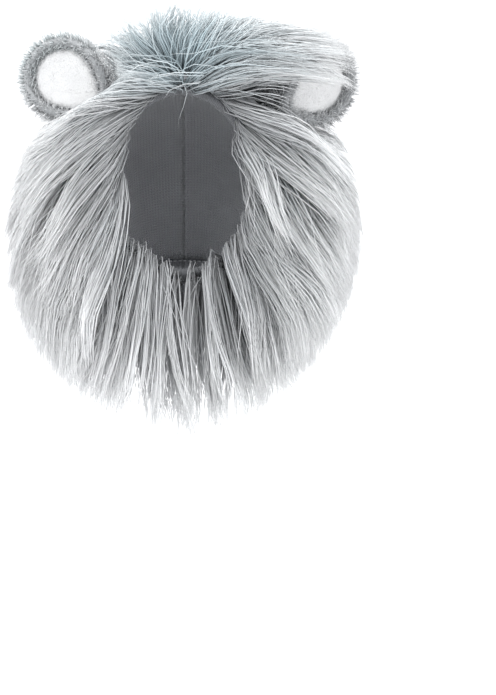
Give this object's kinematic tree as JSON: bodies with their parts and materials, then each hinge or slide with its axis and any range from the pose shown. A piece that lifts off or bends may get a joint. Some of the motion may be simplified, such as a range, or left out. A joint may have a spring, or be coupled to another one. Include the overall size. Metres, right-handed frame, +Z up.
{
  "type": "pet lion mane wig",
  "caption": "Pull-on lion mane wig for a cat: knitted hood with bound face and neck openings, long silver-grey fur mane and two round plush ears.",
  "frame": {"origin": "crown seat: the highest point of the inside of the hood, where the top of the wearer's head meets it", "axes": "+Z up, -Y out through the face opening, +X to the viewer's right in front of it"},
  "size_m": [0.2069, 0.1633, 0.2334],
  "materials": {
    "hood_backing": "plain knit, matt",
    "face_binding": "folded stretch tape, matt",
    "neck_binding": "folded stretch tape, matt",
    "mane_fur": "long-pile faux fur, silky",
    "left_ear_shell": "short-pile plush",
    "left_ear_lining": "smooth white plush",
    "right_ear_shell": "short-pile plush",
    "right_ear_lining": "smooth white plush"
  },
  "bodies": {
    "root": {"hood_backing": "hood_backing", "face_binding": "face_binding", "neck_binding": "neck_binding", "mane_fur": "mane_fur", "left_ear_shell": "left_ear_shell", "left_ear_lining": "left_ear_lining", "right_ear_shell": "right_ear_shell", "right_ear_lining": "right_ear_lining"}
  },
  "joints": []
}
